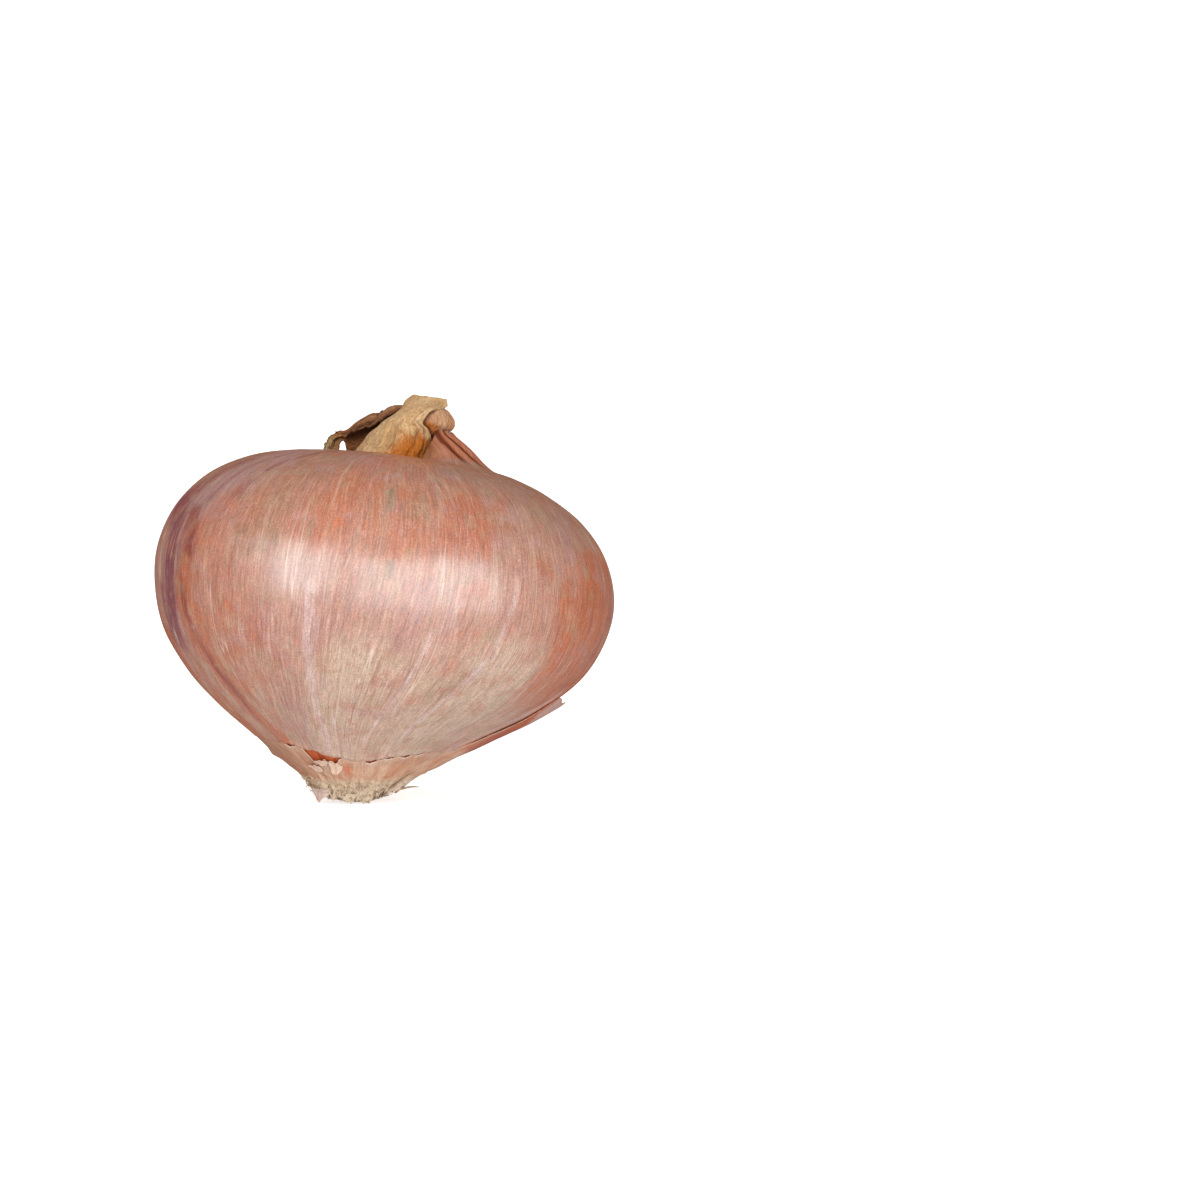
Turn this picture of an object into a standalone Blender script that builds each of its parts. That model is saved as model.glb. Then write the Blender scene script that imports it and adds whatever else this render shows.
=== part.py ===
"""A flat pink onion, standing on its root end.

Lengths in the functions are millimetres, and become metres where a mesh is
made. The bulb's pieces are drawn about its own axis, which leans: x is across
to the right, y away from the front and z along the axis, up from the roots.
One empty carries the lean. The flat that the onion stands on is at Z = 0, with
the origin at its centre.
"""

import math
import random

import bmesh
import bpy
from mathutils import Vector, noise

MM = 0.001

# How the bulb stands: where its axis meets the ground, and its lean
AXIS_FOOT = (-2.3, -2.3, 0.0)
LEAN_RIGHT = 7.5
LEAN_BACK = 4.0

# The outside of the skin from the root plate to the neck's rim:
# height on the axis, radius, and how far the ring's centre lies to the right
OUTLINE = (
    (2.8, 8.0, -0.4),
    (5.2, 11.0, -1.1),
    (9.0, 16.0, -1.8),
    (13.5, 22.8, -1.9),
    (18.5, 29.3, -1.2),
    (25.0, 35.1, -0.1),
    (32.0, 38.2, 0.5),
    (39.0, 38.8, 0.7),
    (46.0, 36.6, 0.7),
    (51.8, 31.9, 0.6),
    (55.6, 25.6, 0.6),
    (57.6, 19.3, 1.2),
    (58.4, 14.2, 2.8),
    (59.8, 10.6, 4.0),
    (62.2, 8.0, 4.2),
    (64.6, 5.5, 4.2),
)
LAST = len(OUTLINE) - 1
SHOULDER_ROW = 12
SKIN_THICK = 0.6
FIT_GAP = 0.35
UNEVEN = 0.35
PLEATS = 13
PLEAT_DEPTH = 0.45

# The tear that parts the skin above from what is left round the roots:
# angle from the right, counter-clockwise from above, and height on the axis
TEAR = (
    (-180, 8.9),
    (-140, 8.3),
    (-120, 7.3),
    (-94, 6.5),
    (-67, 7.4),
    (-45, 8.8),
    (-25, 11.0),
    (-12, 14.8),
    (2, 19.6),
    (25, 21.4),
    (60, 18.6),
    (100, 14.0),
    (140, 10.6),
    (180, 8.9),
)
RAGGED = 0.25
# How far the two torn edges stand apart: everywhere, and more at the window in
# front, beside the sprung flap and across the back
CRACK = 0.45
WINDOW_ANGLE, WINDOW_HALF, WINDOW_DROP = -107, 19, 1.4
SIDE_ANGLE, SIDE_HALF, SIDE_DROP = -8, 16, 0.9
BACK_ANGLE, BACK_HALF, BACK_DROP = 90, 60, 1.1
FLAP_ANGLE, FLAP_HALF, FLAP_OUT = 4, 44, 1.6

# The root plate, from where it is cut by the ground: height, radius, and how
# far its centre lies to the right and to the back
PLATE = (
    (-1.8, 5.2, 2.4, 2.5),
    (-0.5, 5.8, 2.1, 2.2),
    (0.8, 6.3, 1.1, 1.1),
    (1.9, 7.0, 0.0, 0.3),
    (2.7, 7.7, -0.4, 0.0),
)
PLATE_LUMPS = 0.35
ROOTS = 60
ROOT_ROWS = (0.8, 3.2)
ROOT_LENGTH = (0.7, 1.6)
ROOT_RADIUS = (0.45, 0.65)
ROOT_TIP_RADIUS = (0.3, 0.4)
ROOT_SUNK = 1.4
SEED = 7

# The stub of the inner leaves in the neck: height, radius, shift to the right
STUB = (
    (58.1, 3.2, 3.6),
    (59.4, 3.5, 3.4),
    (61.0, 4.0, 2.9),
    (63.4, 4.0, 2.9),
    (65.0, 4.3, 3.8),
    (66.3, 4.5, 4.1),
    (67.4, 3.4, 4.3),
    (68.3, 1.9, 4.4),
)
STUB_PLEATS = 9
STUB_PLEAT_DEPTH = 0.3

# The leaf that wraps the stub: height, centre x and y, half width, half depth,
# and the angle short of the right at which its free front edge stands
WRAP = (
    (59.3, -0.6, 0.0, 6.7, 5.7, 50),
    (61.0, 0.0, 0.0, 6.2, 5.6, 50),
    (62.8, 0.5, -0.1, 5.7, 5.5, 56),
    (64.9, 1.5, -0.2, 4.9, 5.4, 68),
    (66.3, 2.4, -0.2, 4.1, 5.2, 70),
    (67.6, 3.2, -0.2, 3.6, 4.2, 72),
    (68.8, 3.8, -0.2, 3.2, 2.6, 50),
    (69.8, 4.0, 0.0, 2.9, 0.8, 16),
)
WRAP_REAR = 75
LEAF_THICK = 0.6

# The leaf behind, bent over to the left: rows of its cage from the neck to the
# tip, each from the bottom of its far side over the crest to its near lip
BACK_LEAF = (
    ((3.2, 6.7, 60.2), (3.2, 7.2, 64.8), (3.2, 6.4, 68.4), (3.2, 4.9, 67.5)),
    ((-0.8, 6.8, 59.8), (-0.8, 7.3, 64.3), (-0.8, 6.0, 68.3), (-0.8, 4.1, 66.5)),
    ((-4.2, 6.2, 59.5), (-4.1, 6.8, 63.2), (-4.0, 5.6, 66.9), (-4.2, 3.5, 64.8)),
    ((-7.2, 5.4, 59.4), (-7.0, 6.1, 62.2), (-7.0, 5.1, 65.3), (-7.1, 3.2, 63.6)),
    ((-9.0, 4.6, 59.7), (-9.0, 5.0, 61.6), (-9.2, 4.6, 63.4), (-9.1, 3.0, 62.3)),
    ((-9.9, 4.1, 60.9), (-10.3, 4.2, 61.5), (-11.2, 4.1, 62.1), (-10.6, 3.0, 61.6)),
    ((-10.4, 3.8, 60.2), (-11.0, 3.9, 60.4), (-12.3, 3.8, 60.6), (-11.8, 3.0, 60.4)),
    ((-10.6, 3.5, 59.2), (-11.2, 3.6, 59.2), (-12.6, 3.5, 59.1), (-12.1, 3.0, 59.1)),
)


def smooth(x):
    """0 below 0, 1 above 1 and an even rise between them."""
    x = min(max(x, 0.0), 1.0)
    return x * x * (3 - 2 * x)


def along(rows, t):
    """The row of numbers at t rows from the first, on a smooth curve through them."""
    last = len(rows) - 1
    at = min(max(t, 0.0), last)
    first = min(int(at), last - 1)
    f = at - first
    around = [rows[min(max(first + k, 0), last)] for k in (-1, 0, 1, 2)]
    return [
        b + 0.5 * f * (c - a + f * (2 * a - 5 * b + 4 * c - d + f * (3 * (b - c) + d - a)))
        for a, b, c, d in zip(*around)
    ]


def between(pairs, x):
    """The value at x on straight lines between pairs of numbers."""
    for (x0, y0), (x1, y1) in zip(pairs, pairs[1:]):
        if x <= x1:
            return y0 + (y1 - y0) * (x - x0) / (x1 - x0)
    return pairs[-1][1]


def turn(angle, centre):
    """Degrees from centre to angle, from -180 to 180."""
    return (angle - centre + 180) % 360 - 180


def near(angle, centre, half):
    """1 at centre and 0 from half degrees away."""
    return 1 - smooth(abs(turn(angle, centre)) / half)


def row_at(height):
    """How many rows up OUTLINE a height on the axis is."""
    low, high = 0.0, float(SHOULDER_ROW)
    for _ in range(30):
        middle = (low + high) / 2
        if along(OUTLINE, middle)[0] < height:
            low = middle
        else:
            high = middle
    return low


def neck_rise(angle):
    """1 where the skin climbs the neck, at the right, and 0 where it lies flat."""
    return 1 - smooth((abs(turn(angle, -4)) - 52) / 30)


def skin_place(t, angle, outward=0.0):
    """A point of the skin's outside, t rows up OUTLINE, moved out by outward."""
    height, radius, shift = along(OUTLINE, t)
    step = 0.02
    below, above = along(OUTLINE, t - step), along(OUTLINE, t + step)
    rise, widen = above[0] - below[0], above[1] - below[1]
    length = math.hypot(rise, widen)
    turned = math.radians(angle)
    on_neck = smooth((t - SHOULDER_ROW) / 1.6)
    fold = math.cos(PLEATS * turned + 0.9 * math.sin(2 * turned)) - 1
    radius += UNEVEN * math.sin(2 * turned + 0.6) * smooth(t) * (1 - on_neck)
    radius += outward * rise / length + 0.5 * PLEAT_DEPTH * fold * on_neck
    flat = OUTLINE[SHOULDER_ROW][0]
    if height > flat:
        height = flat + (height - flat) * neck_rise(angle)
    height -= outward * widen / length
    return Vector((shift + radius * math.cos(turned), radius * math.sin(turned), height))


def tear_height(angle):
    """The height of the upper skin's torn edge."""
    ragged = noise.noise(Vector((angle * 0.35, 1.7, 0.0)))
    return between(TEAR, turn(angle, 0)) + RAGGED * ragged


def crack_width(angle):
    """How far the two torn edges stand apart."""
    window = near(angle, WINDOW_ANGLE, WINDOW_HALF)
    side = near(angle, SIDE_ANGLE, SIDE_HALF)
    back = near(angle, BACK_ANGLE, BACK_HALF)
    ragged = 0.5 + 0.5 * noise.noise(Vector((angle * 0.2, 5.1, 0.0)))
    return CRACK + WINDOW_DROP * window + SIDE_DROP * side + BACK_DROP * back * ragged


def collection(name):
    made = bpy.data.collections.new(name)
    bpy.context.scene.collection.children.link(made)
    return made


def material(name, colour, roughness):
    made = bpy.data.materials.new(name)
    made.use_nodes = True
    shader = made.node_tree.nodes["Principled BSDF"]
    shader.inputs["Base Color"].default_value = (*colour, 1)
    shader.inputs["Roughness"].default_value = roughness
    shader.inputs["Metallic"].default_value = 0
    return made


def add(name, mesh, group, finish=None, parent=None):
    """An object of the onion, or a helper, in its collection."""
    obj = bpy.data.objects.new(name, mesh)
    group.objects.link(obj)
    obj.parent = parent
    if finish:
        mesh.materials.append(finish)
    return obj


def tube(rows, sides):
    """A mesh of the unit tube: radius 1, from z = rows down to z = 0, open ended."""
    line = bpy.data.meshes.new("line")
    points = [(1, 0, rows - i) for i in range(rows + 1)]
    line.from_pydata(points, [(i, i + 1) for i in range(rows)], [])
    obj = bpy.data.objects.new("line", line)
    bpy.context.scene.collection.objects.link(obj)
    screw = obj.modifiers.new("turned", "SCREW")
    screw.steps = screw.render_steps = sides
    screw.use_merge_vertices = True
    screw.merge_threshold = 0.0001
    mesh = baked(obj)
    bpy.data.objects.remove(obj)
    return mesh


def baked(obj):
    """A new mesh of obj as its modifiers leave it."""
    graph = bpy.context.evaluated_depsgraph_get()
    return bpy.data.meshes.new_from_object(obj.evaluated_get(graph), depsgraph=graph)


def put(mesh, place, caps=False):
    """Moves a unit tube's points to place(row, angle), in millimetres."""
    for vertex in mesh.vertices:
        x, y, row = vertex.co
        vertex.co = place(row, math.degrees(math.atan2(y, x))) * MM
    shape = bmesh.new()
    shape.from_mesh(mesh)
    if caps:
        rims = [edge for edge in shape.edges if edge.is_boundary]
        bmesh.ops.holes_fill(shape, edges=rims)
    bmesh.ops.triangulate(shape, faces=shape.faces)
    bmesh.ops.recalc_face_normals(shape, faces=shape.faces)
    shape.to_mesh(mesh)
    shape.free()
    mesh.shade_smooth()
    return mesh


def thicken(obj, thick, inward=True):
    """Gives an open sheet its thickness."""
    solid = obj.modifiers.new("thickness", "SOLIDIFY")
    solid.thickness = thick * MM
    solid.offset = -1 if inward else 1


def make_bulb(group, axis):
    """The flesh with its own skin, just inside the dry skins and closed flat."""
    rows, sides = 14, 48
    depth = SKIN_THICK + FIT_GAP

    def place(row, angle):
        return skin_place(row / rows * SHOULDER_ROW, angle, -depth)

    mesh = put(tube(rows, sides), place, caps=True)
    lowest = OUTLINE[0][0] + FIT_GAP
    for vertex in mesh.vertices:
        vertex.co.z = max(vertex.co.z, lowest * MM)
    return add("bulb", mesh, group, material("inner_skin", (0.52, 0.12, 0.04), 0.45), axis)


def make_outer_skin(group, axis):
    """The dry skin from the tear to the neck, pleated where it climbs the stub."""
    rows, sides = 20, 65

    def place(row, angle):
        torn = row_at(tear_height(angle))
        return skin_place(torn + (LAST - torn) * row / rows, angle)

    finish = material("dry_skin", (0.60, 0.33, 0.24), 0.4)
    obj = add("outer_skin", put(tube(rows, sides), place), group, finish, axis)
    thicken(obj, SKIN_THICK)
    return obj


def make_base_skin(group, axis):
    """What is left of that skin round the roots, sprung outward at the right."""
    rows, sides = 6, 60
    foot = row_at(OUTLINE[0][0] + FIT_GAP)

    def place(row, angle):
        rim = row_at(tear_height(angle) - crack_width(angle))
        t = foot + (rim - foot) * row / rows
        beside = near(angle, FLAP_ANGLE, FLAP_HALF)
        return skin_place(t, angle, FLAP_OUT * beside * smooth((t - 1.2) / 2.4))

    finish = material("base_skin", (0.63, 0.38, 0.26), 0.5)
    obj = add("base_skin", put(tube(rows, sides), place), group, finish, axis)
    thicken(obj, SKIN_THICK)
    return obj


def plate_place(t, angle, lump=0.0):
    """A point of the root plate's side, t rows up PLATE, moved out by lump."""
    height, radius, right, back = along(PLATE, t)
    turned = math.radians(angle)
    radius += lump * smooth(PLATE[-1][0] - height)
    return Vector((right + radius * math.cos(turned), back + radius * math.sin(turned), height))


def make_root(random_place, axis, group):
    """One dry root, cut short: a thin cone leaning out from the plate's side."""
    angle = random_place.uniform(-180, 180)
    start = plate_place(random_place.uniform(*ROOT_ROWS), angle)
    length = random_place.uniform(*ROOT_LENGTH)
    outward = Vector((math.cos(math.radians(angle)), math.sin(math.radians(angle)), 0))
    aim = (outward * random_place.uniform(0.3, 0.9) + Vector((0, 0, -1))).normalized()
    shape = bmesh.new()
    bmesh.ops.create_cone(
        shape,
        cap_ends=True,
        segments=5,
        radius1=random_place.uniform(*ROOT_RADIUS) * MM,
        radius2=random_place.uniform(*ROOT_TIP_RADIUS) * MM,
        depth=(length + ROOT_SUNK) * MM,
    )
    mesh = bpy.data.meshes.new("root")
    shape.to_mesh(mesh)
    shape.free()
    obj = add("root", mesh, group, parent=axis)
    obj.location = (start + aim * (length - ROOT_SUNK) / 2) * MM
    obj.rotation_mode = "QUATERNION"
    obj.rotation_quaternion = aim.to_track_quat("Z", "Y")


def make_root_plate(group, helpers, axis):
    """The root plate and its cut roots, fused, and worn flat where it stands."""
    rows, sides = 6, 30

    def place(row, angle):
        turned = math.radians(angle)
        lump = noise.noise(Vector((2 * math.cos(turned), 2 * math.sin(turned), row * 0.5)))
        return plate_place(row / rows * (len(PLATE) - 1), angle, PLATE_LUMPS * lump)

    finish = material("root_plate", (0.48, 0.38, 0.26), 0.85)
    obj = add("root_plate", put(tube(rows, sides), place, caps=True), group, finish, axis)
    bundle = collection("root_bundle")
    pick = random.Random(SEED)
    for _ in range(ROOTS):
        make_root(pick, axis, bundle)
    union = obj.modifiers.new("roots", "BOOLEAN")
    union.operation = "UNION"
    union.operand_type = "COLLECTION"
    union.collection = bundle
    ground = make_ground(helpers)
    cut = obj.modifiers.new("ground", "BOOLEAN")
    cut.operation = "DIFFERENCE"
    cut.object = ground
    bpy.context.view_layer.update()
    fused = baked(obj)
    obj.modifiers.clear()
    obj.data = fused
    for root in list(bundle.objects):
        bpy.data.objects.remove(root)
    bpy.data.collections.remove(bundle)
    return obj


def make_ground(helpers):
    """A block under Z = 0, which the root plate is cut flat by."""
    side, depth = 60, 10
    shape = bmesh.new()
    bmesh.ops.create_cube(shape, size=1)
    bmesh.ops.scale(shape, vec=(side * MM, side * MM, depth * MM), verts=shape.verts)
    bmesh.ops.translate(shape, vec=(0, 0, -depth / 2 * MM), verts=shape.verts)
    mesh = bpy.data.meshes.new("ground")
    shape.to_mesh(mesh)
    shape.free()
    obj = add("ground", mesh, helpers)
    obj.hide_render = True
    obj.display_type = "WIRE"
    return obj


def make_neck_stub(group, axis):
    """The dried inner leaves, drawn together in pleats above the bulb."""
    rows, sides = 10, 36

    def place(row, angle):
        height, radius, shift = along(STUB, row / rows * (len(STUB) - 1))
        turned = math.radians(angle)
        fold = math.cos(STUB_PLEATS * turned + 1.2 * math.sin(turned)) - 1
        radius += 0.5 * STUB_PLEAT_DEPTH * fold * smooth(radius / 3)
        return Vector((shift + radius * math.cos(turned), radius * math.sin(turned), height))

    finish = material("neck_stub", (0.50, 0.27, 0.14), 0.6)
    return add("neck_stub", put(tube(rows, sides), place, caps=True), group, finish, axis)


def sheet(rows, columns, place):
    """A mesh of a grid, its points at place(row, column), in millimetres."""
    shape = bmesh.new()
    bmesh.ops.create_grid(shape, x_segments=columns, y_segments=rows, size=1)
    for vertex in shape.verts:
        column = (vertex.co.x + 1) / 2 * columns
        row = (vertex.co.y + 1) / 2 * rows
        vertex.co = place(row, column) * MM
    bmesh.ops.triangulate(shape, faces=shape.faces)
    mesh = bpy.data.meshes.new("sheet")
    shape.to_mesh(mesh)
    shape.free()
    mesh.shade_smooth()
    return mesh


def make_front_leaf(group, axis):
    """The ochre leaf wrapped round the stub and pinched flat at its top."""
    rows, columns = 12, 20

    def place(row, column):
        height, x, y, wide, deep, short = along(WRAP, row / rows * (len(WRAP) - 1))
        angle = -short - (360 - short - WRAP_REAR) * column / columns
        turned = math.radians(angle)
        crumple = 0.3 * noise.noise(Vector((math.cos(turned) * 2.2, row * 0.45, 7.7)))
        reach = 1 + crumple / wide
        return Vector((x + wide * reach * math.cos(turned), y + deep * reach * math.sin(turned), height))

    finish = material("ochre_leaf", (0.52, 0.33, 0.14), 0.6)
    obj = add("neck_leaf_front", sheet(rows, columns, place), group, finish, axis)
    thicken(obj, LEAF_THICK, inward=False)
    return obj


def make_back_leaf(group, axis):
    """The brown leaf behind, arched over to the left, with its tip curled down."""
    rows, columns = 18, 8
    last_row, last_column = len(BACK_LEAF) - 1, len(BACK_LEAF[0]) - 1

    def place(row, column):
        lines = [
            along([cage_row[i] for cage_row in BACK_LEAF], row / rows * last_row)
            for i in range(last_column + 1)
        ]
        return Vector(along(lines, column / columns * last_column))

    finish = material("brown_leaf", (0.28, 0.15, 0.09), 0.7)
    obj = add("neck_leaf_back", sheet(rows, columns, place), group, finish, axis)
    thicken(obj, LEAF_THICK)
    return obj


def main():
    for obj in list(bpy.data.objects):
        bpy.data.objects.remove(obj)
    onion = collection("onion")
    helpers = collection("cutters")
    axis = bpy.data.objects.new("bulb_axis", None)
    onion.objects.link(axis)
    axis.location = Vector(AXIS_FOOT) * MM
    axis.rotation_euler = (math.radians(-LEAN_BACK), math.radians(LEAN_RIGHT), 0)
    bpy.context.view_layer.update()
    make_bulb(onion, axis)
    make_outer_skin(onion, axis)
    make_base_skin(onion, axis)
    make_root_plate(onion, helpers, axis)
    make_neck_stub(onion, axis)
    make_front_leaf(onion, axis)
    make_back_leaf(onion, axis)


main()
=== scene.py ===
"""The looks of a flat pink onion that stands on its root end.

Lengths are millimetres until a mesh is made. As in the construction, the
bulb's pieces are drawn about the bulb's own leaning axis: x is to the right,
y away from the front, and z along the axis, up from the roots. Angles go
counter-clockwise from the right, seen from above, so the front is at -90.
"""

import math
import random

import bpy
import numpy as np
from mathutils import Euler, Matrix, Vector


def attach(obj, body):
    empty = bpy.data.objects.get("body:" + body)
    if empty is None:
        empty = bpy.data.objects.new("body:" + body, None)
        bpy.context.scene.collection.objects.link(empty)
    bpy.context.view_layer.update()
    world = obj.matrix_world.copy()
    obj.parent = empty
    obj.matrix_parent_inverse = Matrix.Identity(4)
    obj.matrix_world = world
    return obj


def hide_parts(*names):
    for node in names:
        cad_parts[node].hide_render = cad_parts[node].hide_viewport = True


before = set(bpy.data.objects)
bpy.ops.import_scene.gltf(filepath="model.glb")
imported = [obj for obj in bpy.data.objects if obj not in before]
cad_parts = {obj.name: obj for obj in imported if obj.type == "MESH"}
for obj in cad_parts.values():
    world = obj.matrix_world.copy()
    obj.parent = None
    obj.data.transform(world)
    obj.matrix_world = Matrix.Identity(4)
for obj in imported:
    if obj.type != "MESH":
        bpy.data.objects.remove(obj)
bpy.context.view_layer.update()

MM = 0.001
BODY = "root"

# How the bulb stands, and its outline: height on the axis, radius, and how far
# the ring's centre lies to the right. The first rows are the frayed foot
AXIS_FOOT = (-2.3, -2.3, 0.0)
LEAN_RIGHT, LEAN_BACK = 7.5, 4.0
OUTLINE = (
    (-0.6, 6.1, -0.5), (0.6, 6.6, -0.4), (1.8, 7.2, -0.3), (2.8, 8.0, -0.4), (5.2, 11.0, -1.1),
    (9.0, 16.0, -1.8), (13.5, 22.8, -1.8), (18.5, 29.4, -1.0), (25.0, 35.3, 0.0), (32.0, 38.2, 0.5),
    (39.0, 38.8, 0.7), (46.0, 36.6, 0.7), (51.8, 31.9, 0.6), (55.6, 25.6, 0.6), (57.6, 19.3, 1.2),
    (58.4, 14.2, 2.8), (59.8, 10.8, 4.0), (62.2, 7.7, 4.2), (64.3, 4.6, 4.0),
)
LAST = len(OUTLINE) - 1
FOOT_ROW, SHOULDER_ROW = 3, 15
UNEVEN, GROOVE_DEPTH = 0.35, 0.8
SKIN_THICK, LEAF_THICK, CHIP_THICK = 0.2, 0.25, 0.1
BULB_DEPTH = 0.4

# The torn edge of the upper skin, as angle and height on the axis, and how far
# below it the edge of the skin round the roots lies
TEAR = (
    (-180, 8.9), (-150, 8.6), (-137, 8.4), (-130, 8.6), (-124, 8.5), (-119, 8.2), (-116, 7.9),
    (-109, 7.9), (-105, 7.5), (-99, 7.35), (-91, 7.45), (-85, 7.0), (-78, 7.15), (-71, 7.55),
    (-65, 7.95), (-59, 8.6), (-52, 8.9), (-44, 9.3), (-38, 9.9), (-27, 10.3), (-17, 10.8),
    (-11, 12.6), (-7, 15.0), (-3, 18.5), (1, 21.4), (6, 21.8), (25, 20.9), (60, 18.6), (100, 14.0),
    (140, 10.6), (180, 8.9),
)
GAP = (
    (-180, 0.04), (-132, 0.04), (-129.5, 0.50), (-125, 0.45), (-122.5, 0.12), (-119.5, 0.2),
    (-117.5, 0.7), (-115.5, 1.7), (-111.5, 1.95), (-107, 1.5), (-104, 0.9), (-100, 1.15),
    (-96, 1.1), (-93.5, 0.6), (-91, 0.1), (-82, 0.05), (-75, 0.08), (-73.5, 0.42), (-66.5, 0.45),
    (-65, 0.06), (-63, 0.42), (-59, 0.55), (-56, 0.42), (-54.5, 0.05), (-52, 0.05), (-50.5, 0.50),
    (-46, 0.50), (-44.5, 0.04), (-42, 0.05), (-41, 0.46), (-38.5, 0.46), (-37, 0.02), (-20, 0.02),
    (-15, 0.35), (-4, 0.45), (6, 0.4), (25, 0.6), (60, 1.2), (95, 1.5), (130, 0.9), (155, 0.2),
    (180, 0.04),
)

# How far that skin's edge laps up over the upper one at the right, where it has
# sprung outward
LAP = (
    (-180, 0.0), (-20, 0.0), (-17, 0.2), (-15, 1.7), (-12, 3.3), (-10, 5.0), (-8.5, 7.4), (-6, 5.6),
    (-3, 2.5), (0, 0.9), (5, 0.0), (180, 0.0),
)

# How low the frayed foot of that skin reaches, as angle and height
FRAY = (
    (-180, 1.9), (-150, 1.7), (-125, 0.6), (-100, 0.0), (-60, 0.5), (-30, 2.4), (0, 3.2), (40, 2.4),
    (90, 0.9), (140, 0.8), (180, 1.9),
)

# The middle of its sprung part, and how far that reaches to either side
FLAP_ANGLE, FLAP_HALF = 4, 50

# Colours as the surface itself has them, in linear light
PINK = (0.465, 0.218, 0.150)
TAN = (0.375, 0.157, 0.080)
BEIGE = (0.525, 0.315, 0.218)
TINTS = {
    "beige": (0.555, 0.358, 0.258),
    "mauve": (0.415, 0.190, 0.160),
    "orange": (0.490, 0.118, 0.036),
    "purple": (0.250, 0.042, 0.056),
    "red": (0.290, 0.042, 0.023),
    "smudge": (0.250, 0.160, 0.085),
    "lavender": (0.640, 0.440, 0.410),
}
PALE = (0.76, 0.56, 0.47)


def smooth(x):
    """0 below 0, 1 above 1 and an even rise between them."""
    x = np.clip(x, 0.0, 1.0)
    return x * x * (3 - 2 * x)


def along(rows, t):
    """Rows of numbers at t rows from the first, on smooth curves through them."""
    rows = np.asarray(rows, float)
    last = len(rows) - 1
    at = np.clip(np.asarray(t, float), 0.0, last)
    first = np.minimum(at.astype(int), last - 1)
    f = (at - first).reshape(at.shape + (1,) * (rows.ndim - 1))
    a, b, c, d = (rows[np.clip(first + k, 0, last)] for k in (-1, 0, 1, 2))
    return b + 0.5 * f * (c - a + f * (2 * a - 5 * b + 4 * c - d + f * (3 * (b - c) + d - a)))


def turn(angle, centre):
    """Degrees from centre to angle, from -180 to 180."""
    return (angle - centre + 180) % 360 - 180


def near(angle, centre, half):
    """1 at centre and 0 from half degrees away."""
    return 1 - smooth(np.abs(turn(angle, centre)) / half)


def bump_at(x, centre, half):
    """1 at centre and 0 from half away."""
    return 1 - smooth(np.abs(x - centre) / half)


def table(rows, x):
    """A value read off a table of x and value."""
    return np.interp(x, *zip(*rows))


def by_angle(rows, angle):
    """A value read off a table of angle and value, from -180 to 180."""
    return table(rows, turn(angle, 0))


def scatter(x, y, z):
    """A fixed random number from 0 to 1 for each point of whole numbers."""
    mixed = (x * 374761393 + y * 668265263 + z * 1442695041) & 0xFFFFFFFF
    mixed = ((mixed ^ (mixed >> 13)) * 1274126177) & 0xFFFFFFFF
    return ((mixed ^ (mixed >> 16)) & 0xFFFF) / 0xFFFF


def grain(x, y, z, octaves=1):
    """Smooth noise from -1 to 1, with finer noise added for each further octave."""
    total, share = 0.0, 1.0
    for _ in range(octaves):
        cells = [np.floor(v).astype(np.int64) for v in np.broadcast_arrays(x, y, z)]
        fx, fy, fz = (smooth(v - w) for v, w in zip(np.broadcast_arrays(x, y, z), cells))
        value = 0.0
        for i, j, k in np.ndindex(2, 2, 2):
            weight = (fx if i else 1 - fx) * (fy if j else 1 - fy) * (fz if k else 1 - fz)
            value = value + weight * scatter(cells[0] + i, cells[1] + j, cells[2] + k)
        total = total + share * (2 * value - 1)
        x, y, z, share = 2 * x + 17.3, 2 * y + 5.1, 2 * z + 9.7, share / 2
    return total


def round_grain(angle, lumps, z, octaves=1):
    """That noise round the axis, with that many lumps a radian."""
    a = np.radians(angle)
    return grain(lumps * np.cos(a), lumps * np.sin(a), z, octaves)


def round_place(angle, x, y, wide, deep, height):
    """Points at an angle on ellipses about x, y, with half widths wide and half depths deep."""
    a = np.radians(angle)
    return np.stack([x + wide * np.cos(a), y + deep * np.sin(a), height], axis=-1)


def axis_matrix():
    """The place and lean of the bulb's axis, in metres."""
    lean = Euler((math.radians(-LEAN_BACK), math.radians(LEAN_RIGHT), 0)).to_matrix().to_4x4()
    return Matrix.Translation(Vector(AXIS_FOOT) * MM) @ lean


def to_world(points):
    """Points of the axis's frame, in millimetres, as world points in metres."""
    matrix = np.array(axis_matrix())
    return np.asarray(points, float) * MM @ matrix[:3, :3].T + matrix[:3, 3]


def grid_faces(rows, columns, wrap):
    """The quads of a grid of points, whose columns join end to end if wrap is set."""
    faces = []
    for here in range(0, (rows - 1) * columns, columns):
        above = here + columns
        for column in range(columns if wrap else columns - 1):
            right = (column + 1) % columns
            faces.append((here + column, here + right, above + right, above + column))
    return faces


def moved_on(faces, count):
    """The same faces, for points that come that many places later."""
    return [tuple(i + count for i in face) for face in faces]


def closed_faces(rows, columns):
    """The faces of a grid of rings, each of its ends drawn together in one more point."""
    faces = grid_faces(rows, columns, True)
    count = rows * columns
    end = count - columns
    for column in range(columns):
        right = (column + 1) % columns
        faces.append((right, column, count))
        faces.append((end + column, end + right, count + 1))
    return faces


def new_object(name, data):
    obj = bpy.data.objects.new(name, data)
    bpy.context.scene.collection.objects.link(obj)
    return obj


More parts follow.
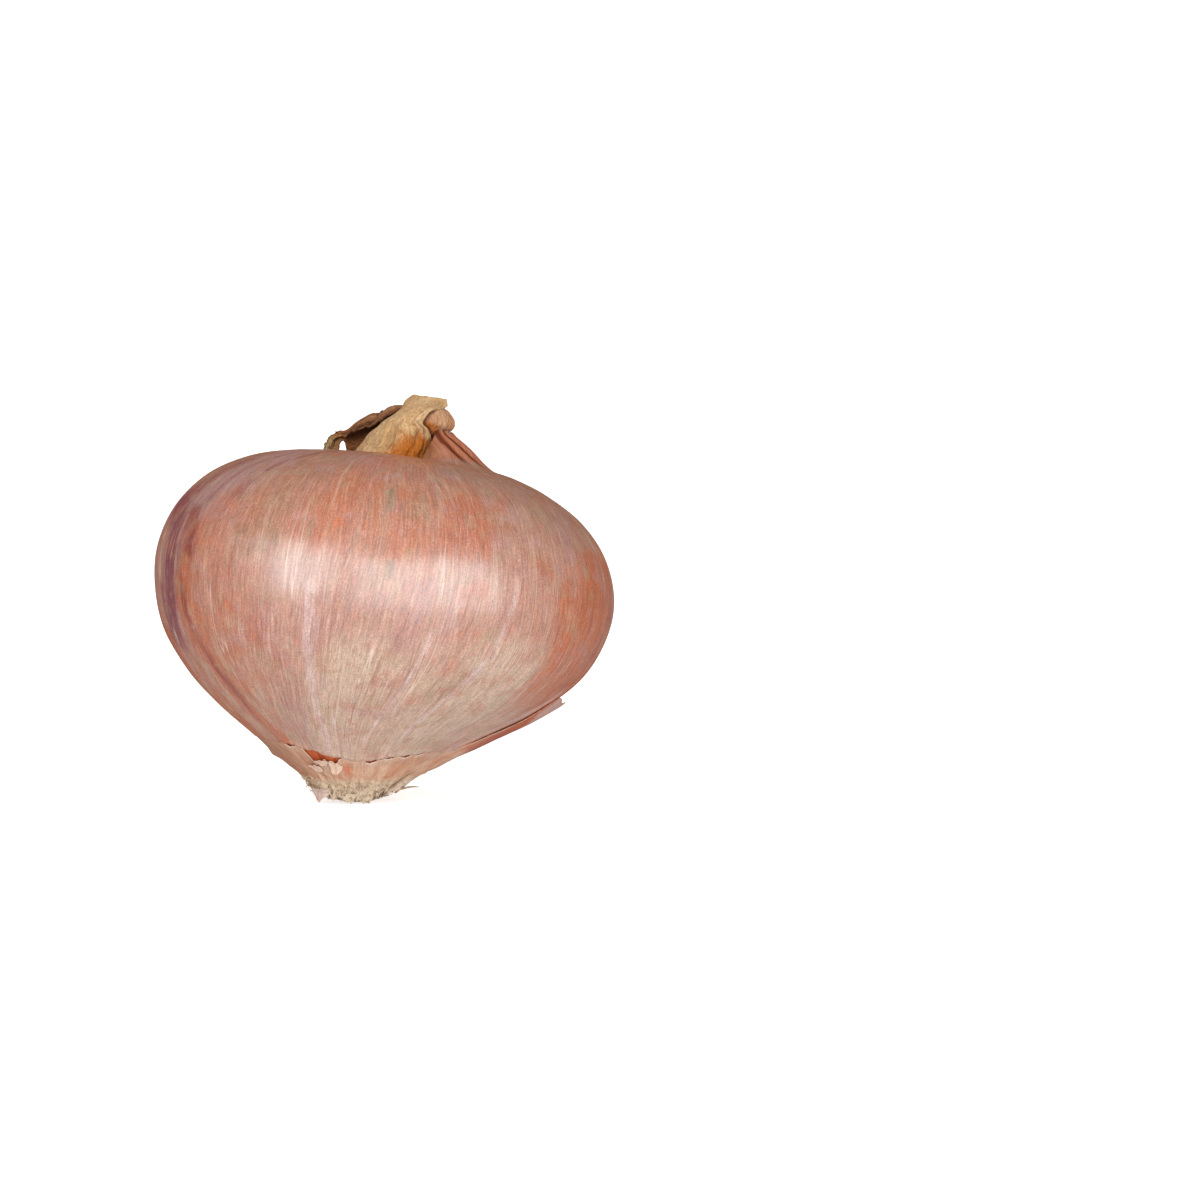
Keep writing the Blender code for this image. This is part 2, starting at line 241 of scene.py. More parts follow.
def make_object(name, points, faces, material, values):
    """A smooth mesh object from points in the axis's frame, with values for its shader.

    Points that would be under the ground are raised to it.
    """
    mesh = bpy.data.meshes.new(name)
    world = to_world(points)
    world[:, 2] = np.maximum(world[:, 2], 0.0)
    mesh.from_pydata(world.tolist(), [], faces)
    for key, numbers in values.items():
        numbers = np.asarray(numbers, np.float32)
        vector = numbers.ndim == 2
        attribute = mesh.attributes.new(key, "FLOAT_VECTOR" if vector else "FLOAT", "POINT")
        attribute.data.foreach_set("vector" if vector else "value", numbers.ravel())
    mesh.materials.append(material)
    mesh.validate()
    mesh.shade_smooth()
    return new_object(name, mesh)


def listed(grid):
    """A grid of numbers or points as one list."""
    return grid.reshape(-1, *grid.shape[2:])


def make_sheet(name, grid, wrap, material, values, thick):
    """A skin or leaf from a grid of points on its outside, closed to a real thickness.

    The shader value "inner" is 1 on the sheet's inside.
    """
    rows, columns = grid.shape[:2]
    if wrap:
        across = np.roll(grid, -1, axis=1) - np.roll(grid, 1, axis=1)
    else:
        across = np.gradient(grid, axis=1)
    normal = np.cross(across, np.gradient(grid, axis=0))
    normal /= np.maximum(np.linalg.norm(normal, axis=2, keepdims=True), 1e-9)
    count = rows * columns
    faces = grid_faces(rows, columns, wrap)
    faces += moved_on([face[::-1] for face in faces], count)
    index = np.arange(count).reshape(rows, columns).tolist()
    low, high = index[0], index[-1][::-1]
    if wrap:
        edges = [low + low[:1], high[-1:] + high]
    else:
        edges = [low + [row[-1] for row in index[1:]] + high[1:] + [row[0] for row in index[-2::-1]]]
    for edge in edges:
        faces += [(b, a, count + a, count + b) for a, b in zip(edge, edge[1:])]
    doubled = {key: np.concatenate([listed(numbers)] * 2) for key, numbers in values.items()}
    doubled["inner"] = np.repeat([0.0, 1.0], count)
    points = np.concatenate([listed(grid), listed(grid - normal * thick)])
    return make_object(name, points, faces, material, doubled)


def make_closed(name, grid, material, values):
    """A closed solid from a grid of rings, each end drawn together in its middle."""
    points = np.concatenate([listed(grid), grid[:1].mean(axis=1), grid[-1:].mean(axis=1)])
    for key, numbers in values.items():
        numbers = listed(numbers)
        values[key] = np.concatenate([numbers, numbers[:1], numbers[-1:]])
    return make_object(name, points, closed_faces(*grid.shape[:2]), material, values)


def belongs(obj, slot, *nodes):
    """Makes a piece part of the onion, in place of its plain solids."""
    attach(obj, BODY)
    if nodes:
        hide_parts(*nodes)


def row_at(height):
    """How many rows up OUTLINE a height on the axis is."""
    fine = np.linspace(0, SHOULDER_ROW, 900)
    return np.interp(height, along(OUTLINE, fine)[:, 0], fine)


def length_share(t):
    """How far up the outline t rows are, as a share of its length from foot to neck."""
    fine = np.linspace(0, LAST, 900)
    outline = along(OUTLINE, fine)[:, :2]
    steps = np.concatenate([[0], np.cumsum(np.hypot(*np.diff(outline, axis=0).T))])
    return np.interp(t, fine, steps / steps[-1])


def neck_rise(angle):
    """1 where the skin climbs the neck, at the right, and 0 where it lies flat."""
    return 1 - smooth((np.abs(turn(angle, -2)) - 52) / 42)


def grooves(angle, height):
    """1 in the bottom of the folds in which the skin climbs the neck."""
    first = bump_at(angle, np.interp(height, (58.6, 60.7, 62.7), (-43, -53.5, -61)), 8.0)
    second = bump_at(angle, np.interp(height, (58.6, 61.1, 63.7), (-22, -34, -46)), 8.5)
    deep = np.maximum(0.9 * first, second)
    for centre, half in ((-6, 7), (22, 9), (50, 8), (-80, 6)):
        deep = np.maximum(deep, 0.7 * bump_at(angle, centre + 1.5 * (height - 61), half))
    return deep


def skin_place(t, angle, outward=0.0):
    """Points of the skin's outside, t rows up OUTLINE, moved out by outward."""
    height, radius, shift = np.moveaxis(along(OUTLINE, t), -1, 0)
    step = 0.02
    below, above = along(OUTLINE, t - step), along(OUTLINE, t + step)
    rise, widen = above[..., 0] - below[..., 0], above[..., 1] - below[..., 1]
    length = np.hypot(rise, widen)
    on_neck = smooth((t - SHOULDER_ROW + 0.2) / 1.4)
    body = smooth((t - FOOT_ROW) / 2) * (1 - on_neck)
    radius = radius + UNEVEN * np.sin(2 * np.radians(angle) + 0.6) * body
    radius = radius + outward * rise / length
    radius = radius - GROOVE_DEPTH * grooves(angle, height) * on_neck * smooth(radius / 5)
    shoulder = OUTLINE[SHOULDER_ROW][0]
    height = np.where(height > shoulder, shoulder + (height - shoulder) * neck_rise(angle), height)
    height = height - outward * widen / length
    return round_place(angle, shift, 0, radius, radius, height)


def relief(t, angle):
    """The skin's slight unevenness: soft swells, ribs and shallow dents."""
    s, a = length_share(t), np.radians(angle)
    swell = 0.16 * round_grain(angle, 2.2, 4.0 * s)
    bands = 0.06 * round_grain(angle, 9, 2.5 * s + 7, 2)
    ribs = 0.03 * round_grain(angle, 24, 3.0 * s + 3, 2)
    dents = 0.05 * grain(7 * np.cos(a) + 4, 7 * np.sin(a), 11 * s, 2)
    return (swell + bands + ribs + dents) * smooth((t - FOOT_ROW) / 2) * smooth((16.5 - t) / 2)


def skin_frame(t, angle):
    """Where a point lies on the skin: the direction of its fibre, and its height share."""
    s = length_share(t)
    wander = 0.03 * round_grain(angle, 3, 5 * s) + 0.008 * round_grain(angle, 14, 9 * s)
    a = np.radians(angle) + wander
    return np.stack([np.cos(a), np.sin(a), s], axis=-1)


# Streaks of each tint along the fibres: half width in degrees, strength, and the
# heights and angles of their course
STREAKS = {
    "orange": (
        (26, 0.42, (6, 22, 40), (-126, -134, -142)), (13, 0.8, (4, 14, 25), (-150, -160, -168)),
        (8, 0.5, (39, 43, 47), (-136, -136, -134)),
        (5.5, 0.95, (9, 16, 26, 36, 40), (-130, -137, -144, -144.5, -143)),
        (15, 0.85, (22, 28, 34, 42), (-14, -20, -22, -20)), (12, 0.65, (42, 49, 56), (-103, -101, -96)),
        (9, 0.5, (42, 48, 56), (-84, -83, -80)), (12, 0.6, (44, 48, 53), (-71, -70, -69)),
        (16, 0.5, (43, 49, 54), (-122, -119, -114)), (13, 1.0, (24, 30, 37, 44), (-20, -25, -26, -18)),
        (18, 0.8, (16, 28, 38, 50), (96, 99, 101, 98)), (12, 0.7, (20, 32, 46), (158, 156, 152)),
    ),
    "smudge": (
        (9, 0.45, (16, 30, 44, 54), (-172, -176, -178, -174)), (9, 0.4, (40, 45, 50), (-120, -119, -118)),
        (24, 0.3, (42, 47, 54), (-118, -116, -108)), (2.0, 0.8, (48.6, 50.0, 51.2), (-88, -88, -89)),
        (5, 0.4, (47.5, 49.5, 51.5), (-83, -80, -76)), (1.4, 0.6, (37, 38.3, 39.6), (-86, -86, -86)),
        (1.2, 0.6, (42.0, 43.2, 44.6), (-107, -107, -107)), (6, 0.35, (20, 25, 30), (-62, -58, -56)),
    ),
    "mauve": (
        (8, 0.6, (26, 36, 46), (-168, -168, -168)), (14, 0.9, (44, 52, 57), (-148, -144, -136)),
        (10, 0.4, (10, 17, 26, 35), (-108, -112, -116, -118)), (14, 0.4, (27, 33, 39), (-98, -96, -95)),
        (9, 0.8, (12, 26, 40, 50), (118, 124, 128, 125)), (20, 0.7, (20, 34, 50), (80, 78, 82)),
        (8, 0.5, (26, 31, 36), (-80, -78, -77)),
    ),
    "purple": (
        (5.5, 1.0, (25, 30, 36, 41, 46), (-154, -153, -153, -154, -159)),
        (3.5, 0.95, (20, 32, 44, 54), (62, 58, 55, 60)),
        (2.5, 0.85, (14, 26, 40, 48), (119, 124, 128, 126)),
    ),
    "red": (
        (3, 0.9, (21, 24, 28), (-3, -1, 4)), (3.6, 0.85, (38, 41, 44), (-142.5, -144.5, -147)),
        (5.0, 0.5, (44, 49, 54), (-158, -156, -150)), (1.8, 0.6, (49, 54, 57.5), (-133, -129, -121)),
        (1.6, 0.5, (47, 53, 57), (-143, -140, -134)),
        (1.8, 0.7, (15, 20, 27, 31), (-135, -139, -143, -145)), (6, 0.35, (20, 28, 36), (-18, -10, -8)),
        (6, 0.3, (45, 48, 51), (-70, -69, -68)), (3, 0.7, (24, 36, 48), (48, 46, 48)),
    ),
    "beige": (
        (24, 0.9, (8, 14, 20, 27), (-56, -50, -48, -50)),
        (14, 0.8, (8, 13, 18, 25), (-92, -90, -88, -86)), (12, 0.4, (33, 37, 41), (-126, -126, -126)),
        (20, 0.8, (10, 18, 30), (140, 146, 150)), (16, 0.7, (24, 34, 44), (20, 18, 22)),
    ),
    "lavender": (
        (3.0, 0.5, (10.5, 13, 15.6, 18.4, 21), (-24, -19, -16, -14, -12)),
        (2.2, 0.5, (9, 15, 24, 33), (-98, -101, -103, -104)),
        (1.2, 0.6, (14, 22, 30, 37), (-62, -57, -54, -53)), (0.9, 0.6, (11, 18, 27), (-78, -75, -73)),
    ),
}


def streak_values(t, angle):
    """How much of each tint a point of the skin has."""
    height = along(OUTLINE, t)[..., 0]
    ragged = round_grain(angle, 11, 7 * length_share(t), 3)
    values = {}
    for tint, streaks in STREAKS.items():
        most = np.zeros_like(height)
        for half, strength, heights, angles in streaks:
            ends = min(6.0, (heights[-1] - heights[0]) / 2)
            below, above = height - heights[0] + ends, heights[-1] + ends - height
            inside = smooth(below / ends) * smooth(above / ends)
            wide = near(angle + 0.45 * half * ragged, np.interp(height, heights, angles), 1.7 * half)
            most = np.maximum(most, strength * wide * inside)
        values[tint] = most
    return values


class Nodes:
    """The shader nodes of one tree. Most methods make nodes and return their result."""

    def __init__(self, tree):
        self.tree = tree

    def put(self, socket, value):
        """Links a socket to another's value, or sets it to a number or a colour."""
        if isinstance(value, bpy.types.NodeSocket):
            self.tree.links.new(value, socket)
        elif socket.type == "RGBA":
            socket.default_value = (*value, 1)
        else:
            socket.default_value = value

    def node(self, kind, inputs=(), **settings):
        made = self.tree.nodes.new("ShaderNode" + kind)
        for key, value in settings.items():
            setattr(made, key, value)
        for key, value in dict(inputs).items():
            self.put(made.inputs[key], value)
        return made

    def maths(self, operation, *values):
        return self.node("Math", enumerate(values), operation=operation).outputs[0]

    def plus(self, a, b):
        return self.maths("ADD", a, b)

    def times(self, total, *factors):
        for factor in factors:
            total = self.maths("MULTIPLY", total, factor)
        return total

    def scaled(self, value, factor, plus):
        """value times factor, plus another."""
        return self.maths("MULTIPLY_ADD", value, factor, plus)

    def stretched(self, place, factors, plus=0.0):
        """A place with its parts times the factors, and moved along."""
        inputs = {0: place, 1: factors, 2: (plus,) * 3}
        return self.node("VectorMath", inputs, operation="MULTIPLY_ADD").outputs[0]

    def mix(self, share, a, b):
        """Colour a, with b mixed in by share."""
        return self.node("Mix", {0: share, 6: a, 7: b}, data_type="RGBA").outputs[2]

    def shaded(self, colour, *shades):
        """A colour made lighter or darker by each of the shades."""
        inputs = {0: colour, "Scale": self.times(*shades)}
        return self.node("VectorMath", inputs, operation="SCALE").outputs[0]

    def ramp(self, value, low, high, out_low=0.0, out_high=1.0):
        """value from low to high, as a smooth rise from out_low to out_high."""
        inputs = {0: value, 1: low, 2: high, 3: out_low, 4: out_high}
        return self.node("MapRange", inputs, interpolation_type="SMOOTHSTEP").outputs[0]

    def mesh(self, name, output="Fac"):
        """What make_object gave the mesh's points under that name, or 0."""
        return self.node("Attribute", attribute_name=name).outputs[output]

    def in_space(self):
        """The point itself, in millimetres."""
        return self.stretched(self.node("TexCoord").outputs["Object"], (1000, 1000, 1000))

    def noise(self, place, sizes, detail=2.0, rough=0.5, offset=0.0):
        """Smooth noise from about 0.25 to 0.75: sizes are its lumps along each part of place."""
        moved = self.stretched(place, sizes, offset)
        inputs = {"Vector": moved, "Scale": 1.0, "Detail": detail, "Roughness": rough}
        return self.node("TexNoise", inputs).outputs[0]

    def contour(self, value, middle, half):
        """1 where value is middle and 0 from half away, which makes thin lines of a noise."""
        return self.ramp(self.maths("ABSOLUTE", self.plus(value, -middle)), 0.0, half, 1.0, 0.0)

    def specks(self, place, sizes, size, share):
        """Small spots: 1 in the middle of a few cells of a cell pattern."""
        cells = self.node("TexVoronoi", {"Vector": self.stretched(place, sizes), "Scale": 1.0})
        inside = self.ramp(cells.outputs["Distance"], size * 0.5, size, 1.0, 0.0)
        pick = self.node("SeparateColor", {0: cells.outputs["Color"]}).outputs[0]
        return self.times(inside, self.maths("LESS_THAN", pick, share))


class Paint(Nodes):
    """A material's nodes, with a surface shader and a colour built up in layers."""

    def __init__(self, name, **sockets):
        self.material = bpy.data.materials.new(name)
        self.material.use_nodes = True
        super().__init__(self.material.node_tree)
        self.shader = self.tree.nodes["Principled BSDF"]
        self.surface(**sockets)

    def surface(self, **sockets):
        """Sets or links sockets of the surface shader."""
        for key, value in sockets.items():
            self.put(self.shader.inputs[key.replace("_", " ")], value)

    def cover(self, share, tint):
        """Mixes a tint into the colour by share."""
        self.colour = self.mix(share, self.colour, tint)

    def layer(self, value, low, high, most, tint):
        """Mixes a tint in: none of it where value is low, and most where it is high."""
        self.cover(self.ramp(value, low, high, 0.0, most), tint)

    def shade(self, *shades):
        """Makes the colour lighter or darker by each of the shades."""
        self.colour = self.shaded(self.colour, *shades)

    def finish(self, height, distance):
        """Links the colour, and a fine relief: height 1 stands for distance in millimetres."""
        inputs = {"Height": height, "Distance": distance * MM, "Strength": 1.0}
        self.surface(Base_Color=self.colour, Normal=self.node("Bump", inputs).outputs[0])

    def let_light_through(self, share):
        """Makes a thin sheet glow with the light that falls on its other side."""
        through = self.node("BsdfTranslucent", {0: self.colour}).outputs[0]
        both = self.node("MixShader", {0: share, 1: self.shader.outputs[0], 2: through})
        self.tree.links.new(both.outputs[0], self.tree.nodes["Material Output"].inputs["Surface"])


def skin_material():
    """Dry onion skin: silky, pink and tan, with fibres, veins, bands and specks."""
    p = Paint("dry_skin", Coat_Roughness=0.235, Coat_IOR=1.8)
    place, here = p.mesh("skin", "Vector"), p.in_space()
    s = p.node("SeparateXYZ", {0: place}).outputs[2]
    patch = p.noise(place, (3, 3, 6), 4, 0.6, 3.0)
    cloud = p.noise(place, (4, 4, 8), 4, 0.62, 41.0)
    blot = p.noise(place, (9, 9, 20), 4, 0.68, 7.0)
    band = p.noise(place, (20, 20, 5), 3, 0.62, 11.0)
    fibre = p.noise(place, (56, 56, 13), 3, 0.62, 5.0)
    fine = p.noise(place, (150, 150, 34), 2, 0.6, 1.0)
    mottle = p.noise(here, (3.4, 3.4, 3.4), 2, 0.65, 2.0)
    stains = p.noise(here, (0.22, 0.22, 0.22), 5, 0.66, 3.0)
    flush = p.noise(here, (0.26, 0.26, 0.26), 5, 0.66, 8.0)

    p.colour = PINK
    uneven = p.scaled(blot, 0.30, p.plus(s, -0.15))
    p.layer(uneven, 0.44, 0.20, 1.0, BEIGE)
    p.layer(uneven, 0.56, 0.74, 1.0, TAN)
    p.layer(cloud, 0.52, 0.68, 0.5, TINTS["mauve"])
    p.layer(p.times(patch, blot), 0.25, 0.38, 0.55, TINTS["orange"])
    ragged = p.scaled(blot, 1.1, p.scaled(fibre, 0.8, -0.95))
    for name, tint in TINTS.items():
        mask = p.mesh(name)
        share = p.scaled(p.times(ragged, p.ramp(mask, 0.0, 0.3)), 0.62, mask)
        p.layer(share, 0.08, 0.85, 1.0, tint)
    p.layer(flush, 0.51, 0.62, 0.42, (0.47, 0.150, 0.090))
    p.layer(stains, 0.53, 0.64, 0.36, (0.43, 0.260, 0.140))
    p.layer(stains, 0.47, 0.36, 0.36, (0.46, 0.245, 0.225))
    p.layer(band, 0.53, 0.70, 0.34, (0.37, 0.115, 0.062))
    p.layer(band, 0.45, 0.30, 0.26, (0.62, 0.41, 0.30))
    p.layer(fibre, 0.53, 0.72, 0.46, (0.33, 0.085, 0.045))
    p.cover(p.times(p.ramp(fibre, 0.44, 0.27), p.ramp(s, 0.40, 0.62, 0.36, 0.14)), (0.68, 0.47, 0.36))
    p.shade(p.ramp(fine, 0.28, 0.72, 1.20, 0.80), p.ramp(mottle, 0.3, 0.7, 0.81, 1.19))

    course = p.scaled(fibre, 0.03, p.noise(place, (15, 15, 1.3), 1, 0.5, 23.0))
    some = p.ramp(p.noise(place, (9, 9, 5), 1, 0.5, 31.0), 0.48, 0.6)
    vein = p.times(p.contour(course, 0.515, 0.009), some, p.ramp(s, 0.50, 0.65, 0.65, 0.07))
    p.cover(vein, PALE)
    rusty = p.ramp(blot, 0.45, 0.58)
    p.cover(p.times(p.specks(here, (0.8, 0.8, 0.8), 0.15, 0.3), rusty, 0.6), (0.20, 0.055, 0.03))
    p.cover(p.times(p.specks(place, (80, 80, 26), 0.24, 0.10), 0.5), (0.29, 0.075, 0.04))

    lined, grainy = p.ramp(fibre, 0.38, 0.62), p.ramp(fine, 0.3, 0.7, 1.2, 0.8)
    brown = p.mix(lined, (0.45, 0.185, 0.115), (0.35, 0.110, 0.055))
    p.cover(p.mesh("neck"), p.shaded(brown, grainy))
    ochre = p.mix(lined, (0.58, 0.30, 0.125), (0.38, 0.16, 0.055))
    ochre = p.shaded(ochre, grainy, p.ramp(mottle, 0.3, 0.7, 0.8, 1.2))
    p.cover(p.times(p.mesh("ochre"), p.ramp(blot, 0.3, 0.5, 0.6, 1.0)), ochre)
    # Painted shade in the bottoms of the folds where the skin climbs the neck
    p.cover(p.mesh("groove_shade"), (0.13, 0.028, 0.010))
    p.cover(p.times(p.mesh("edge"), 0.4), (0.50, 0.20, 0.11))
    p.cover(p.mesh("inner"), (0.58, 0.17, 0.06))

    facing = p.node("LayerWeight", {"Blend": 0.5}).outputs["Facing"]
    gloss = p.times(p.maths("SUBTRACT", 1.0, p.mesh("neck")), p.ramp(facing, 0.55, 0.95, 1.0, 0.15))
    rough = p.plus(p.ramp(fibre, 0.3, 0.7, 0.42, 0.52), p.ramp(patch, 0.3, 0.7, -0.04, 0.04))
    p.surface(Roughness=rough, Coat_Weight=gloss, Specular_IOR_Level=p.times(gloss, 0.8))
    rings = p.times(p.noise(place, (7, 7, 150), 2, 0.6, 15.0), p.ramp(s, 0.86, 0.92))
    height = p.scaled(fibre, 0.4, p.times(rings, 0.8))
    for part, share in ((fine, 0.45), (mottle, 0.3), (vein, 0.3)):
        height = p.scaled(part, share, height)
    p.finish(height, 0.10)
    return p.material


def base_material():
    """The skin left round the roots: peach above, and cream towards the roots."""
    p = Paint("base_skin", Coat_Weight=0.25, Coat_Roughness=0.35)
    place, here = p.mesh("skin", "Vector"), p.in_space()
    down, tip, edge = p.mesh("down"), p.mesh("tip"), p.mesh("edge")
    patch = p.noise(place, (5, 5, 12), 4, 0.62, 8.0)
    fibre = p.noise(place, (22, 22, 12), 3, 0.62, 5.0)
    fine = p.noise(place, (75, 75, 40), 2, 0.6, 1.0)
    crumbs = p.noise(here, (1.3, 1.3, 1.3), 4, 0.68, 6.0)
    p.colour = (0.51, 0.225, 0.125)
    p.layer(patch, 0.36, 0.62, 1.0, (0.62, 0.37, 0.24))
    p.cover(p.times(p.mesh("tan"), 0.95), (0.41, 0.160, 0.078))
    p.cover(p.times(p.mesh("rim"), 0.7), (0.54, 0.33, 0.23))
    p.cover(p.mesh("flush"), (0.56, 0.15, 0.07))
    p.layer(fibre, 0.53, 0.70, 0.5, (0.47, 0.15, 0.07))
    p.layer(fibre, 0.42, 0.30, 0.4, (0.78, 0.58, 0.44))
    uneven = p.scaled(crumbs, 0.9, p.plus(down, -0.45))
    p.layer(uneven, 0.35, 0.70, 1.0, (0.55, 0.365, 0.235))
    p.layer(uneven, 0.70, 1.0, 0.8, (0.60, 0.445, 0.31))
    hollow = p.times(p.ramp(crumbs, 0.48, 0.38), p.ramp(down, 0.5, 0.9), 0.8)
    p.cover(hollow, (0.24, 0.13, 0.06))
    p.shade(p.ramp(fine, 0.3, 0.7, 0.86, 1.14))
    p.cover(p.mesh("seam"), (0.20, 0.085, 0.04))
    p.cover(p.mesh("glow"), p.mix(p.ramp(fibre, 0.4, 0.6), (0.33, 0.040, 0.008), (0.45, 0.082, 0.020)))
    p.cover(tip, (0.95, 0.73, 0.64))
    p.cover(p.times(edge, 0.7), (0.76, 0.56, 0.45))
    p.cover(p.times(p.mesh("inner"), 0.6), (0.66, 0.36, 0.22))
    p.surface(Roughness=p.ramp(down, 0.2, 0.8, 0.45, 0.75))
    p.finish(p.scaled(fine, 0.4, p.times(crumbs, 0.9)), 0.3)
    p.let_light_through(p.ramp(p.maths("SUBTRACT", tip, edge), 0.0, 1.0, 0.0, 0.65))
    return p.material


def inner_material():
    """The fresh skin under the dry one: moist, orange-red, with fine pale fibres."""
    p = Paint("inner_skin", Roughness=0.35)
    place = p.mesh("skin", "Vector")
    medium = p.noise(place, (30, 30, 4), 3, 0.6)
    fine = p.noise(place, (110, 110, 10), 2, 0.6, 4.0)
    p.colour = (0.42, 0.055, 0.012)
    p.layer(medium, 0.35, 0.65, 1.0, (0.54, 0.12, 0.03))
    p.layer(fine, 0.55, 0.75, 0.4, (0.66, 0.27, 0.13))
    p.finish(p.plus(medium, fine), 0.06)
    return p.material


def leaf_material(name, light, dark, deep, stain):
    """A dry leaf: fibres along it, painted shade in its folds, with stains and an orange part."""
    p = Paint(name, Roughness=0.7, Specular_IOR_Level=0.25)
    place, here = p.mesh("leaf", "Vector"), p.in_space()
    broad = p.noise(place, (0.5, 0.12, 1), 3, 0.6, 2.0)
    medium = p.noise(place, (1.6, 0.18, 1), 3, 0.6, 7.0)
    fine = p.noise(place, (4.5, 0.4, 1), 2, 0.6, 1.0)
    blots = p.noise(here, (0.7, 0.7, 0.7), 5, 0.7, 13.0)
    crinkle = p.noise(here, (2.2, 2.2, 1.3), 3, 0.7, 19.0)
    p.colour = light
    p.layer(broad, 0.35, 0.65, 1.0, dark)
    p.layer(medium, 0.50, 0.70, 0.7, dark)
    p.layer(medium, 0.44, 0.30, 0.6, tuple(min(1, 1.25 * v) for v in light))
    p.layer(p.scaled(p.plus(blots, -0.5), 1.5, p.mesh("tint")), 0.15, 0.7, 0.95, (0.60, 0.165, 0.010))
    p.layer(blots, 0.56, 0.70, 0.65, stain)
    p.cover(p.mesh("ochre"), (0.50, 0.33, 0.14))
    p.cover(p.mesh("stain"), stain)
    # Painted shade: the deep colour darkens folds and creases, and lays painted shadows beside edges
    p.cover(p.mesh("fold"), deep)
    p.shade(p.ramp(fine, 0.3, 0.7, 0.84, 1.14), p.ramp(crinkle, 0.3, 0.7, 0.78, 1.2))
    p.cover(p.times(p.mesh("inner"), 0.6), dark)
    # Painted shade deep inside the back leaf's arch, under its lip
    p.cover(p.times(p.mesh("inner"), p.mesh("arch_shade")), deep)
    p.finish(p.scaled(fine, 0.4, p.scaled(crinkle, 1.1, medium)), 0.32)
    p.let_light_through(0.2)
    return p.material


def root_material():
    """Dry roots and the plate they grow from: cream and tan, with dark pits between."""
    p = Paint("roots", Roughness=0.85)
    here = p.in_space()
    fibres = p.noise(here, (2.2, 2.2, 0.7), 3, 0.6)
    blots = p.noise(here, (0.8, 0.8, 0.8), 4, 0.68, 9.0)
    p.colour = (0.74, 0.57, 0.42)
    p.layer(blots, 0.40, 0.56, 1.0, (0.52, 0.33, 0.20))
    p.layer(blots, 0.54, 0.62, 0.85, (0.22, 0.11, 0.05))
    p.layer(fibres, 0.55, 0.72, 0.5, (0.30, 0.19, 0.11))
    p.cover(p.mesh("pit"), (0.19, 0.10, 0.055))
    p.finish(p.plus(fibres, blots), 0.25)
    return p.material


def tear_line(angle):
    """The height on the axis of the upper skin's torn edge, with its fine teeth."""
    return by_angle(TEAR, angle) + 0.1 * round_grain(angle, 36, 4.1, 3)


def crack_width(angle):
    """How far below that the edge of the skin round the roots lies."""
    return np.maximum(by_angle(GAP, angle) * (1 + 0.35 * round_grain(angle, 30, 2.2, 3)), 0.03)


def gaping(angle):
    """1 where the tear is open, and 0 where its edges still touch."""
    return smooth((by_angle(GAP, angle) - 0.06) / 0.15)


def grid_of(rows, columns):
    """Row shares from 0 to 1, and column angles all round, as two grids."""
    angles = np.linspace(-180, 180, columns, endpoint=False)
    return np.meshgrid(np.linspace(0, 1, rows), angles, indexing="ij")


def make_dry_skin():
    """The dry skin from the tear to the neck, in pleats where it climbs the stub."""
    share, angle = grid_of(130, 330)
    torn = row_at(tear_line(angle))
    t = torn + (LAST - torn) * (share - 0.09 * np.sin(2 * math.pi * share))
    from_edge = (length_share(t) - length_share(torn)) * 100
    curl = 0.14 * (1 - smooth(from_edge / 1.4)) * gaping(angle)
    curl = curl * (0.7 + 0.8 * grain(angle * 0.13, 3.0, 1.0))
    rim = smooth((t - LAST + 0.5) / 0.5) * 0.3 * grain(angle * 0.11, 1.0, 5.0, 2)
    grid = skin_place(t, angle, relief(t, angle) + curl + rim)
    height = along(OUTLINE, t)[..., 0]
    climbing, past = neck_rise(angle), t - SHOULDER_ROW
    above = smooth((height - 59.0) / 2.0 + 0.3 * grain(angle * 0.2, 2.0, 9.0, 2))
    values = {
        "skin": skin_frame(t, angle),
        "edge": (1 - smooth(from_edge / 0.5)) * gaping(angle),
        "neck": smooth((past - 0.1) / 1.0) * (0.35 + 0.65 * climbing),
        "ochre": 0.4 * near(angle, -92, 34) * above,
        # painted shade in the bottoms of the neck's folds
        "groove_shade": smooth(grooves(angle, height) * 1.8 - 0.45) * smooth((past + 0.1) / 1.2) * climbing,
        **streak_values(t, angle),
    }
    obj = make_sheet("dry_skin", grid, True, skin_material(), values, SKIN_THICK)
    belongs(obj, "dry_skin", "outer_skin")


